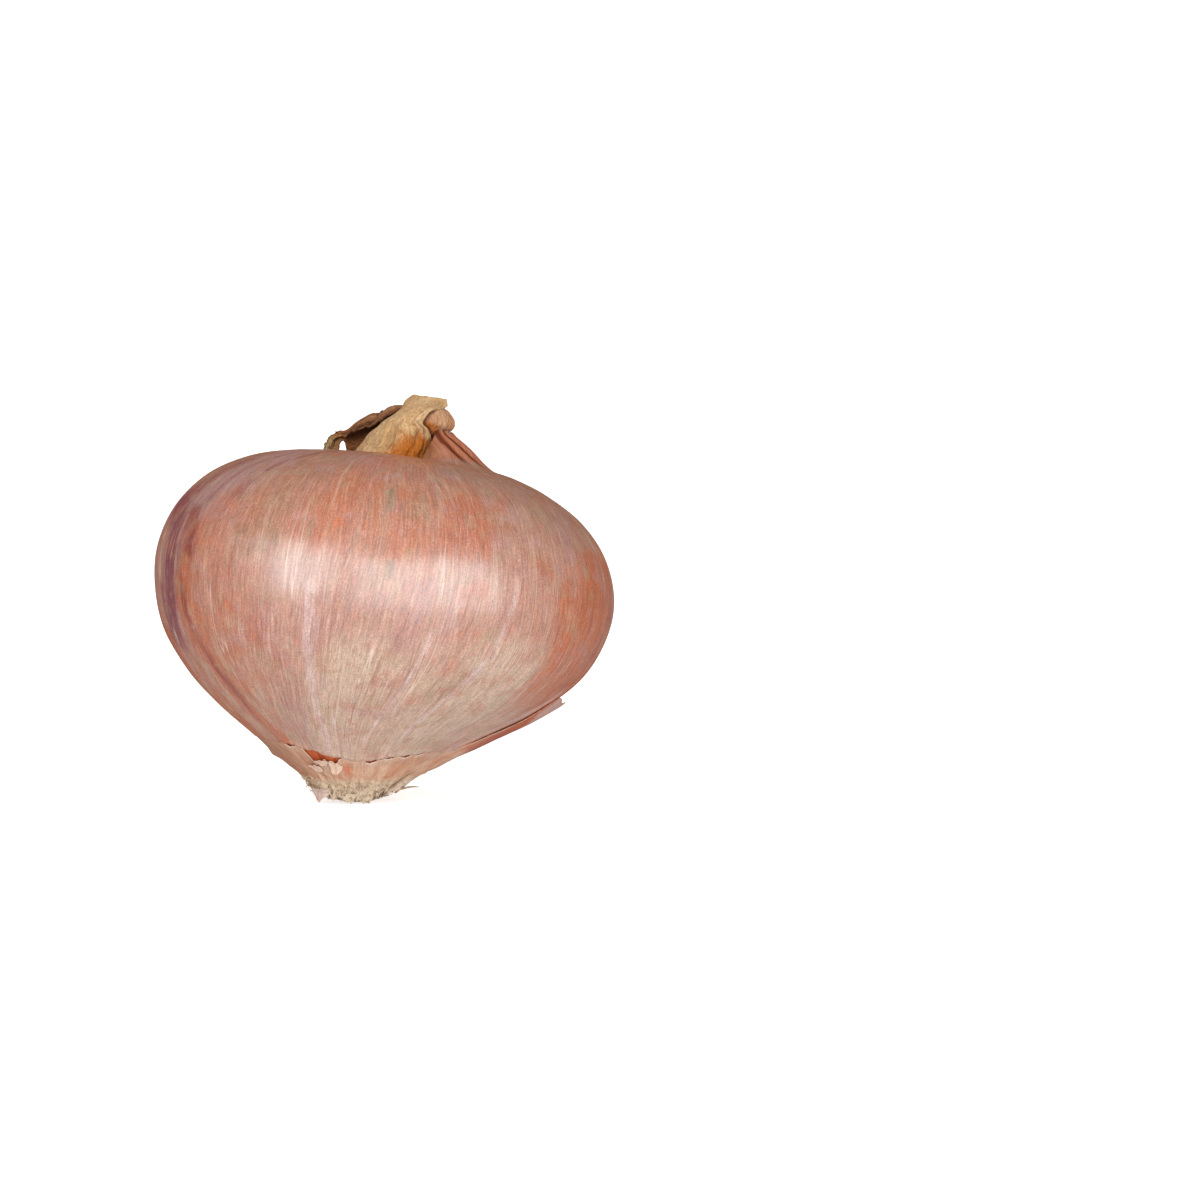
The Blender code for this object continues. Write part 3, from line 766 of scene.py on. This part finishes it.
def make_base_skin():
    """What is left of that skin round the roots, sprung outward at the right."""
    share, angle = grid_of(64, 360)
    below = crack_width(angle) - 0.4 * (1 - gaping(angle))
    rim = row_at(tear_line(angle) - below + by_angle(LAP, angle - 1.5))
    fray = round_grain(angle, 20, 1.0, 3) + 0.6 * round_grain(angle, 48, 2.0)
    foot = row_at(by_angle(FRAY, angle) + 0.75 * fray)
    t = foot + (rim - foot) * share
    height = along(OUTLINE, t)[..., 0]
    beside = near(angle, FLAP_ANGLE, FLAP_HALF)
    stand_off = np.interp(height, (5.8, 8.2, 12.0, 16.0, 22.0), (0.0, 0.75, 0.85, 0.95, 1.3))
    stand_off = stand_off * smooth((angle + 20 - 0.9 * (height - 11)) / 12)
    stand_off = stand_off + 0.12 * smooth((height - 10) / 2)
    fold = 0.5 * near(angle, -176, 12) * bump_at(height, 6.5, 0.9)
    seam = near(angle, np.interp(height, (1.0, 4.0, 7.0), (-38, -31, -20)), 3.5)
    seam = seam * smooth((height - 0.8) / 0.8) * smooth((7.0 - height) / 1.5)
    from_edge = (length_share(rim) - length_share(t)) * 100
    low = smooth((6.0 - height) / 4.0)
    crumple = (0.10 + 0.22 * low) * round_grain(angle, 16, 1.2 * height, 3)
    calm = smooth((from_edge + 0.2) / 1.5) * (1 - 0.85 * beside * smooth((height - 6) / 4))
    out = relief(t, angle) + stand_off * beside + fold + crumple * calm
    grid = skin_place(t, angle, out - 0.06 * (1 - gaping(angle)) - 0.25 * seam)
    side = near(angle, -2, 26)
    level = to_world(grid)[..., 2] / MM
    past_front = angle - np.interp(height, (11, 13, 15.6, 18.4, 22.7), (-16, -13.5, -10.5, -8.5, -7))
    pale_from = np.interp(height, (15, 16.5, 18, 19.5, 22), (16, 8, 4, 1.5, 1.0))
    lip = near(angle, -10, 24) * smooth((5.5 - height) / 1.5)
    values = {
        "skin": skin_frame(t, angle),
        "edge": np.maximum((1 - smooth(from_edge / 0.45)) * gaping(angle) * (1 - side), 0.7 * lip),
        "down": smooth((6.6 - level) / 4.4),
        "glow": side * smooth((height - 10.9) / 1.0),
        "tip": side * smooth((past_front - pale_from) / 2.0 + 0.5) * smooth((height - 14.5) / 1.5) * 0.95,
        "tan": near(angle, -158, 60),
        "rim": (1 - smooth(from_edge / 4.0)) * (1 - near(angle, -158, 50)),
        "flush": near(angle, -89, 6) * bump_at(height, 5.5, 1.4),
        "seam": seam,
    }
    obj = make_sheet("base_skin_collar", grid, True, base_material(), values, SKIN_THICK)
    belongs(obj, "base_skin", "base_skin")


# Chips of skin that have lifted at the tear or hang from the foot: angle, height,
# half width and length, tilt in degrees, lift of the low and the high end, how pale
# and thin it is, and how much wider its high end is
CHIPS = (
    (-116.5, 5.15, 1.05, 0.85, 8, 0.10, 0.45, 0.0, 0.2),
    (-98, 5.6, 0.95, 1.15, -14, 0.60, 0.12, 0.0, 0.45),
    (-108, 6.2, 1.1, 0.7, 12, 0.10, 0.45, 0.0, 0.2),
    (-134, 0.6, 1.6, 1.4, 5, 0.80, 0.15, 1.0, 0.75),
    (-5, 6.3, 0.9, 0.5, 15, 0.10, 0.35, 0.6, 0.1),
    (150, 7.0, 1.3, 0.9, 20, 0.5, 0.1, 0.2, 0.2),
)


def make_chips():
    """The small curled chips of skin, and one stray root fibre."""
    material = base_material()
    v, u = np.meshgrid(np.linspace(-1, 1, 20), np.linspace(-1, 1, 20), indexing="ij")
    for number, (angle, height, wide, long, tilt, low, high, thin, taper) in enumerate(CHIPS):
        ragged = 1 + 0.16 * grain(2.5 * u, 2.5 * v, number * 2.3, 2)
        x = u * wide * ragged * (1 + taper * v) * (1 - 0.2 * v * v)
        y = v * long * ragged * (1 - 0.25 * u * u)
        a = math.radians(tilt)
        aside, up = x * math.cos(a) - y * math.sin(a), x * math.sin(a) + y * math.cos(a)
        radius = np.interp(height, *np.array(OUTLINE)[:SHOULDER_ROW, :2].T)
        angles = angle + np.degrees(aside / radius)
        t = row_at(height + 0.72 * up)
        pleats = 0.05 * np.sin(9 * u + 2 * v + number)
        lift = 0.12 + low * (0.5 - v / 2) ** 2 + high * (0.5 + v / 2) ** 2 + pleats
        values = {
            "skin": skin_frame(t, angles),
            "edge": (0.75 + 0.25 * np.abs(u) - 0.5 * bump_at(u + 0.3 * v, 0.2, 0.14)) * (1 - 0.5 * thin),
            "down": np.full_like(u, 0.2),
            "tip": np.full_like(u, thin),
        }
        grid = skin_place(t, angles, lift)
        obj = make_sheet(f"skin_chip_{number + 1}", grid, False, material, values, CHIP_THICK)
        belongs(obj, "base_skin")
    path = ((7.0, -1.0, 2.9), (8.2, -1.1, 3.2), (9.2, -1.3, 3.6), (10.2, -1.4, 3.8), (11.0, -1.4, 3.85))
    points, faces = tube(path, (0.20, 0.20, 0.17, 0.12, 0.05), 8)
    fibre = make_object("stray_root", points, faces, root_material(), {"pit": np.full(len(points), 0.6)})
    belongs(fibre, "roots")


def make_fresh_bulb():
    """The bulb inside its dry skins, which shows through the tears."""
    share, angle = grid_of(70, 160)
    t = FOOT_ROW + share * (SHOULDER_ROW - FOOT_ROW)
    grid = skin_place(t, angle, relief(t, angle) - BULB_DEPTH)
    obj = make_closed("fresh_bulb", grid, inner_material(), {"skin": skin_frame(t, angle)})
    belongs(obj, "inner_skin", "bulb")


# The root plate: height, radius, and how far its centre lies to the right and back
PLATE = (
    (-1.8, 3.2, -0.8, 1.0), (-0.5, 4.0, -0.8, 1.0), (0.8, 5.0, -0.6, 0.6), (1.9, 5.9, -0.3, 0.3),
    (3.4, 6.9, -0.4, 0.0),
)


def plate_place(t, angle):
    """Points of the root plate's side, t rows up PLATE."""
    height, radius, right, back = np.moveaxis(along(PLATE, t), -1, 0)
    return round_place(angle, right, back, radius, radius, height)


def worn_round(points):
    """The points, with those under the tuft's rounded underside raised to it."""
    x, y, z = to_world(points).T / MM
    away = np.hypot(x + 1.9, y + 1.8)
    bowl = 0.3 * np.maximum(away - 1.8, 0.0) + 0.4 * grain(1.3 * x, 1.3 * y, 3.0, 2)
    up = np.array(axis_matrix().to_3x3().inverted() @ Vector((0, 0, 1)))
    return points + np.maximum(bowl - z, 0.0)[:, None] * up


def tube(path, radii, sides):
    """Points and faces of a closed round tube along path, with a hollow in its last end."""
    path = np.asarray(path, float)
    tangent = np.gradient(path, axis=0)
    tangent /= np.linalg.norm(tangent, axis=1)[:, None]
    side = np.cross(tangent, (0.31, 0.22, 0.93))
    side /= np.linalg.norm(side, axis=1)[:, None]
    up = np.cross(side, tangent)
    a = np.linspace(0, 2 * math.pi, sides, endpoint=False)[:, None]
    rings = [p + r * (np.cos(a) * s + np.sin(a) * u) for p, r, s, u in zip(path, radii, side, up)]
    sunk = path[-1] - tangent[-1] * radii[-1] * 0.5
    rings.append(sunk + (rings[-1] - path[-1]) * 0.6)
    return np.concatenate(rings + [path[:1], sunk[None]]), closed_faces(len(rings), sides)


# How many rootlets are matted under the plate, and fringe the skin's frayed foot
MATTED, FRINGE = 900, 620
ROOT_SEED = 11


def rootlet(pick, matted):
    """The points, faces and "pit" values of one short dry root."""
    at = pick.uniform(-180, 180) if matted else pick.uniform(35, 315)
    outward = round_place(at, 0, 0, 1, 1, 0)
    if matted:
        row = pick.uniform(0.0, 3.2)
        start = plate_place(np.array(row), np.array(at))
        start = start - outward * pick.uniform(0.0, 2.5) * (row < 0.6)
        length, radius, darkest = pick.uniform(0.4, 1.5), pick.uniform(0.045, 0.13), 0.9
    else:
        above = (2.4 - 1.2 * near(at, 180, 60)) * pick.uniform(0.0, 1.0) ** 1.5
        start = skin_place(row_at(by_angle(FRAY, at) + above), np.array(at), 0.0)
        length, radius, darkest = pick.uniform(0.2, 0.7), pick.uniform(0.04, 0.11), 0.3
    aside = np.array([pick.uniform(-0.9, 0.9), pick.uniform(-0.9, 0.9), -0.9])
    aim = outward * pick.uniform(0.0, 0.8) + aside
    aim /= np.linalg.norm(aim)
    bend = np.array([pick.uniform(-1, 1) for _ in range(3)])
    steps = np.linspace(-0.3, length, 6)
    path = [start + aim * k + bend * 0.6 * max(k, 0) ** 2 for k in steps]
    points, faces = tube(path, radius * (1 - 0.5 * (steps + 0.3) / (length + 0.3)), 6)
    shade = darkest * pick.uniform(0.0, 1.0) ** 1.5
    return points, faces, np.repeat([shade, pick.uniform(shade, 1.0)], [len(points) - 8, 8])


def make_roots():
    """The root plate, with a matted tuft of short dry roots under and round it."""
    share, angle = grid_of(30, 96)
    t = share * (len(PLATE) - 1)
    core = plate_place(t, angle)
    lump = 0.5 * round_grain(angle, 7, 2.5 * t, 3)
    core += round_place(angle, 0, 0, lump, lump, 0 * lump)
    points = [listed(core), core[:1].mean(axis=1), core[-1:].mean(axis=1)]
    faces = closed_faces(*core.shape[:2])
    pits = [np.clip(0.6 - 0.9 * lump, 0.2, 0.9).ravel(), [0.7, 0.7]]
    count = core.shape[0] * core.shape[1] + 2
    pick = random.Random(ROOT_SEED)
    for number in range(MATTED + FRINGE):
        made, made_faces, shades = rootlet(pick, number < MATTED)
        points.append(made)
        faces += moved_on(made_faces, count)
        pits.append(shades)
        count += len(made)
    points = worn_round(np.concatenate(points))
    obj = make_object("root_tuft", points, faces, root_material(), {"pit": np.concatenate(pits)})
    belongs(obj, "roots", "root_plate")


# The stub of the inner leaves in the neck: height, radius, shift to the right
STUB = (
    (57.9, 3.2, 2.6), (59.4, 3.4, 2.5), (61.0, 3.6, 2.4), (62.6, 3.6, 2.5), (63.9, 4.0, 3.3),
    (65.0, 4.8, 3.8), (66.2, 4.8, 3.9), (67.3, 4.1, 4.0), (68.1, 3.0, 4.1), (68.7, 1.4, 4.2),
)

# Its folds: angle, half width and depth
STUB_FOLDS = (
    (-100, 5, 0.7), (-70, 2.5, 0.35), (-58, 2.5, 0.25), (-44, 2.5, 0.3), (-29, 2.5, 0.22),
    (-16, 2.5, 0.28), (-4, 3, 0.25), (20, 6, 0.7), (48, 6, 0.8), (80, 7, 0.8), (120, 8, 0.8),
    (160, 8, 0.8),
)

# How far to the right the free edge of the leaf in front of it is: height and x
LEAF_EDGE = (
    (59.5, 5.0), (61.0, 5.4), (62.8, 5.2), (64.0, 4.7), (64.9, 3.6), (66.3, 4.0), (67.5, 4.9),
    (68.2, 6.4),
)

# The leaf that wraps the stub: height, centre x and y, half width, half depth,
# and how far short of the right its free front edge stands, in degrees
WRAP = (
    (58.0, -0.7, 0.0, 8.0, 7.0, 36), (58.7, -0.6, 0.0, 7.1, 6.1, 34), (59.5, -0.6, 0.0, 6.6, 5.7, 32),
    (61.0, 0.0, 0.0, 6.2, 5.6, 30), (62.8, 0.5, -0.1, 5.7, 5.5, 34), (64.0, 1.1, -0.2, 5.2, 5.5, 46),
    (64.9, 1.6, -0.2, 4.8, 5.5, 66), (66.3, 2.5, -0.2, 4.1, 5.2, 68), (67.5, 3.2, -0.2, 3.6, 4.3, 62),
    (68.2, 3.3, -0.1, 3.7, 3.4, 34), (69.0, 3.5, 0.0, 3.5, 2.2, 16), (70.0, 4.0, 0.1, 3.0, 0.8, 12),
)

# How far short of the right its other edge stands, behind
WRAP_REAR = 75

# Its folds: how far across the leaf, half width and depth
LEAF_FOLDS = ((0.045, 0.018, 0.8), (0.12, 0.016, 0.5), (0.47, 0.014, 0.5), (0.28, 0.012, 0.35))

# The leaf behind, bent over to the left: rows of its cage from the neck to the
# tip, each from the bottom of its far side over the crest to its near lip
BACK_LEAF = (
    ((3.5, 6.5, 60.9), (3.3, 7.0, 64.8), (3.2, 6.3, 68.4), (3.2, 4.8, 67.6)),
    ((-0.2, 6.4, 60.4), (-0.6, 7.0, 64.6), (-0.9, 5.9, 68.4), (-1.1, 3.9, 66.9)),
    ((-2.5, 6.2, 60.3), (-2.7, 6.8, 64.3), (-2.9, 5.8, 67.9), (-3.2, 3.6, 65.9)),
    ((-4.2, 6.0, 60.2), (-4.3, 6.6, 63.4), (-4.5, 5.6, 66.7), (-4.8, 3.3, 64.7)),
    ((-5.9, 5.6, 60.0), (-5.9, 6.2, 62.8), (-6.1, 5.3, 66.1), (-6.4, 3.1, 63.9)),
    ((-7.6, 5.1, 59.5), (-7.7, 5.7, 62.0), (-8.0, 5.0, 64.7), (-8.0, 2.9, 63.0)),
    ((-9.1, 4.6, 59.4), (-9.3, 5.0, 61.4), (-9.8, 4.5, 62.8), (-9.2, 2.9, 62.0)),
    ((-9.9, 4.2, 60.9), (-10.3, 4.3, 61.5), (-11.1, 4.1, 62.4), (-10.2, 2.9, 61.6)),
    ((-10.4, 3.9, 60.6), (-11.0, 4.0, 60.7), (-12.3, 3.7, 61.2), (-11.5, 2.9, 60.8)),
    ((-10.6, 3.6, 59.8), (-11.3, 3.7, 59.9), (-12.9, 3.6, 60.0), (-12.0, 2.8, 59.8)),
    ((-10.6, 3.5, 58.9), (-11.5, 3.6, 58.9), (-13.2, 3.5, 58.8), (-12.2, 2.9, 58.7)),
)


def make_neck_stub():
    """The dried inner leaves, drawn together in folds above the bulb."""
    share, angle = grid_of(90, 200)
    height, radius, shift = np.moveaxis(along(STUB, share * (len(STUB) - 1)), -1, 0)
    twist = angle + 3.0 * (height - 63) * smooth((height - 60) / 3)
    fold = 0.0
    for centre, half, depth in STUB_FOLDS:
        wander = 3 * grain(height * 0.8, centre * 1.0, 1.0)
        fold = np.maximum(fold, depth * near(twist + wander, centre, half))
    w = np.radians(twist)
    crumple = 0.22 * round_grain(twist, 4, 0.5 * height, 3) + 0.07 * round_grain(twist, 13, height, 2)
    radius = radius + (crumple - 0.6 * fold) * smooth(radius / 3)
    covered = table(LEAF_EDGE, height) - shift - radius * np.cos(np.radians(angle))
    shadow = 0.9 * smooth((covered + 1.1) / 0.9)
    radius = radius - 0.6 * smooth(covered / 0.8) * smooth(radius / 3)
    grid = round_place(angle, shift, 0, radius, 1.12 * radius, height)
    ochre = 0.6 * smooth((-44 - turn(twist, 0)) / 6) * smooth((turn(twist, 0) + 150) / 10)
    values = {
        "leaf": np.stack([4.2 * np.cos(w), 0.5 * height, 4.2 * np.sin(w)], axis=-1),
        # painted shade in the folds, and the painted shadow of the front leaf's free edge
        "fold": np.maximum(smooth(fold * 2.0 - 0.5) * 0.8, shadow),
        "tint": ochre * smooth((66.5 - height) / 2.5),
    }
    colours = (0.67, 0.37, 0.20), (0.53, 0.24, 0.115), (0.13, 0.035, 0.010), (0.36, 0.15, 0.07)
    made = leaf_material("neck_stub", *colours)
    obj = make_closed("pleated_stub", grid, made, values)
    belongs(obj, "neck_stub", "neck_stub")


def make_front_leaf():
    """The ochre leaf wrapped round the stub and pinched flat at its top."""
    share, across = np.meshgrid(np.linspace(0, 1, 120), np.linspace(0, 1, 190)[::-1], indexing="ij")
    height, x, y, wide, deep, short = np.moveaxis(along(WRAP, share * (len(WRAP) - 1)), -1, 0)
    angle = -short - (360 - short - WRAP_REAR) * across
    lower = smooth((0.72 - share) * 3)
    ridged = np.abs(grain(15 * across + 1.5 * share, 1.8 * share, 2.0, 2))
    crumple = 0.30 * grain(6 * across, 3.0 * share, 7.7, 3) * smooth(share * 5)
    wrinkles = (0.30 * ridged - 0.1) * lower + 0.05 * grain(55 * across, 5 * share, 3.0, 2)
    fold = 0.0
    for centre, half, depth in LEAF_FOLDS:
        place = across + 0.02 * grain(4 * share, centre * 50, 1.0) + 0.05 * (share - 0.3)
        fold = np.maximum(fold, depth * bump_at(place, centre, half) * lower)
    out = (crumple + wrinkles - 0.35 * fold) * smooth((1 - share) * 8)
    out = out + 0.35 * bump_at(across, 0.0, 0.05) * smooth((share - 0.45) * 5) * smooth((1 - share) * 6)
    grid = round_place(angle, x, y, wide + out, deep + out, height)
    grid[..., 2] += 0.06 * grain(12 * across, 1.0, 4.0, 2) * bump_at(share, 1.0, 0.08)
    # Painted shadow along the leaf's free edge, where it stands off the stub
    edge_shadow = bump_at(across, 0.0, 0.035) * smooth((share - 0.42) * 8) * smooth((0.78 - share) * 8)
    values = {
        "leaf": np.stack([24 * across, 13 * share, 0 * share], axis=-1),
        # painted shade in the folds, and the painted shadow line along the free edge
        "fold": np.maximum(fold * 0.8, 0.9 * edge_shadow * bump_at(across, 0.0, 0.012)),
        "tint": 0.95 * smooth((0.50 - share) * 4) * bump_at(across, 0.12, 0.26),
        "stain": bump_at(across, 0.13, 0.035) * bump_at(share, 0.38, 0.09) * 0.7,
    }
    colours = (0.76, 0.48, 0.25), (0.63, 0.36, 0.16), (0.22, 0.08, 0.02), (0.36, 0.20, 0.09)
    obj = make_sheet("front_leaf", grid, False, leaf_material("ochre_leaf", *colours), values, LEAF_THICK)
    belongs(obj, "ochre_leaf", "neck_leaf_front")


def make_back_leaf():
    """The brown leaf behind, arched over to the left, with its tip curled down."""
    lengthwise, crosswise = np.linspace(0, 1, 130), np.linspace(0, 1, 70)[::-1]
    length, across = np.meshgrid(lengthwise, crosswise, indexing="ij")
    lines = along(BACK_LEAF, lengthwise * (len(BACK_LEAF) - 1)).swapaxes(0, 1)
    grid = along(lines, crosswise * (len(lines) - 1)).swapaxes(0, 1)
    ridged = np.abs(grain(16 * across, 5 * length, 3.0, 2))
    out = 0.34 * ridged + 0.16 * grain(8 * across, 11 * length, 2.0, 3) - 0.08
    out = out * smooth((1 - length) * 8 + 0.2)
    grid = grid + out[..., None] * np.array([0.0, -0.55, 0.6])
    by_neck = smooth((0.8 - length) * 5)
    grid[..., 2] -= 0.3 * grain(17 * length, 2.0, 6.0, 4) * by_neck * bump_at(across, 1.0, 0.12)
    grid[..., 2] += 0.5 * grain(20 * length, 5.0, 2.0, 3) * bump_at(across, 0.0, 0.25) * by_neck
    # Painted shade at the foot of the far side and along the near lip
    lip_shade = 0.35 * bump_at(across, 0.0, 0.4) + 0.6 * bump_at(across, 1.0, 0.28) * by_neck
    values = {
        "leaf": np.stack([13 * across, 20 * length, 0 * across], axis=-1),
        # painted shade: the lips and the creases between the ridges
        "fold": lip_shade + 0.75 * smooth(1.0 - ridged * 5),
        "tint": 0.4 * bump_at(length, 0.74, 0.08) * smooth((across - 0.3) * 4),
        "ochre": smooth((length - 0.72) * 7),
        # painted shade inside the arch, under the near lip
        "arch_shade": smooth((across - 0.2) * 5) * (1 - smooth((length - 0.72) * 6)),
    }
    colours = (0.53, 0.240, 0.112), (0.33, 0.118, 0.036), (0.085, 0.028, 0.008), (0.16, 0.06, 0.025)
    obj = make_sheet("back_leaf", grid, False, leaf_material("brown_leaf", *colours), values, LEAF_THICK)
    belongs(obj, "brown_leaf", "neck_leaf_back")


def aim(obj, target, azimuth, elevation, distance):
    """Puts a camera or light that far from its target, and turns it there.

    The azimuth is in degrees to the right of the front, and the elevation in degrees up.
    """
    a, e = math.radians(azimuth), math.radians(elevation)
    back = Vector((math.sin(a) * math.cos(e), -math.cos(a) * math.cos(e), math.sin(e)))
    obj.location = (Vector(target) + back * distance) * MM
    obj.rotation_mode = "QUATERNION"
    obj.rotation_quaternion = (-back).to_track_quat("-Z", "Y")


def make_camera():
    """The photograph's own view: level, from a little above the bulb's middle."""
    width, distance, sensor = 204.4, 568.0, 36.0
    target, elevation = (39.8, 0.0, 34.1), 2.0
    data = bpy.data.cameras.new("camera")
    data.sensor_width = sensor
    data.lens = sensor * distance / width
    data.clip_start, data.clip_end = 0.01, 20
    bpy.context.scene.camera = new_object("camera", data)
    aim(bpy.context.scene.camera, target, 0, elevation, distance)


def make_light(name, azimuth, elevation, size, power):
    """A soft rectangular light, aimed at the bulb's middle."""
    target, distance, cool_white = (3, 0, 36), 900, (0.90, 0.99, 1.02)
    data = bpy.data.lights.new(name, "AREA")
    data.shape = "RECTANGLE"
    data.size, data.size_y = size
    data.energy = power
    data.color = cool_white
    aim(new_object(name, data), target, azimuth, elevation, distance)


def make_surround():
    """A soft surround, brighter over and under the bulb than beside it.

    It is white where the camera sees it, and weak where the skin mirrors it.
    """
    world = bpy.data.worlds.new("surround")
    world.use_nodes = True
    n = Nodes(world.node_tree)
    parts = n.node("SeparateXYZ", {0: n.node("TexCoord").outputs["Generated"]}).outputs
    level = n.plus(n.ramp(parts[1], -0.8, 0.5, 0.46, 0.36), n.ramp(parts[2], 0.1, 0.9, 0.0, 0.55))
    level = n.plus(level, n.ramp(parts[2], 0.0, -0.65, 0.0, 0.55))
    rays = n.node("LightPath").outputs
    level = n.times(level, n.scaled(rays["Is Glossy Ray"], -0.7, 1.0))
    background = n.tree.nodes["Background"].inputs
    n.put(background["Strength"], n.scaled(rays["Is Camera Ray"], 1.5, level))
    n.put(background["Color"], (1, 0.99, 0.98))
    bpy.context.scene.world = world


def make_stage():
    """The white sweep that only the camera sees, a soft surround and two soft lights."""
    half, front, back, bend, tall = 4.0, -3.0, 1.4, 1.0, 3.0
    turns = [math.pi / 2 * k / 16 for k in range(1, 17)]
    curve = [(back + bend * math.sin(a), bend - bend * math.cos(a)) for a in turns]
    profile = [(front, 0.0), (back, 0.0), *curve, (back + bend, tall)]
    points = [(x, y, z) for y, z in profile for x in (-half, half)]
    faces = [(2 * k, 2 * k + 1, 2 * k + 3, 2 * k + 2) for k in range(len(profile) - 1)]
    sweep = bpy.data.meshes.new("sweep")
    sweep.from_pydata(points, [], faces)
    sweep.shade_smooth()
    paper = Paint("sweep_paper", Roughness=0.9, Specular_IOR_Level=0.0)
    paper.surface(Base_Color=(0.9, 0.9, 0.9), Emission_Color=(1, 1, 1), Emission_Strength=0.65)
    sweep.materials.append(paper.material)
    obj = new_object("sweep", sweep)
    obj.visible_diffuse = obj.visible_glossy = obj.visible_transmission = obj.visible_shadow = False

    make_surround()
    make_light("left_softbox", -36.5, 11.5, (0.53, 0.72), 3.35)
    make_light("right_softbox", 26.5, 2, (1.30, 0.82), 8.0)
    bpy.context.scene.view_settings.view_transform = "Standard"


def main():
    make_camera()
    make_stage()
    make_fresh_bulb()
    make_dry_skin()
    make_base_skin()
    make_roots()
    make_chips()
    make_neck_stub()
    make_front_leaf()
    make_back_leaf()


main()
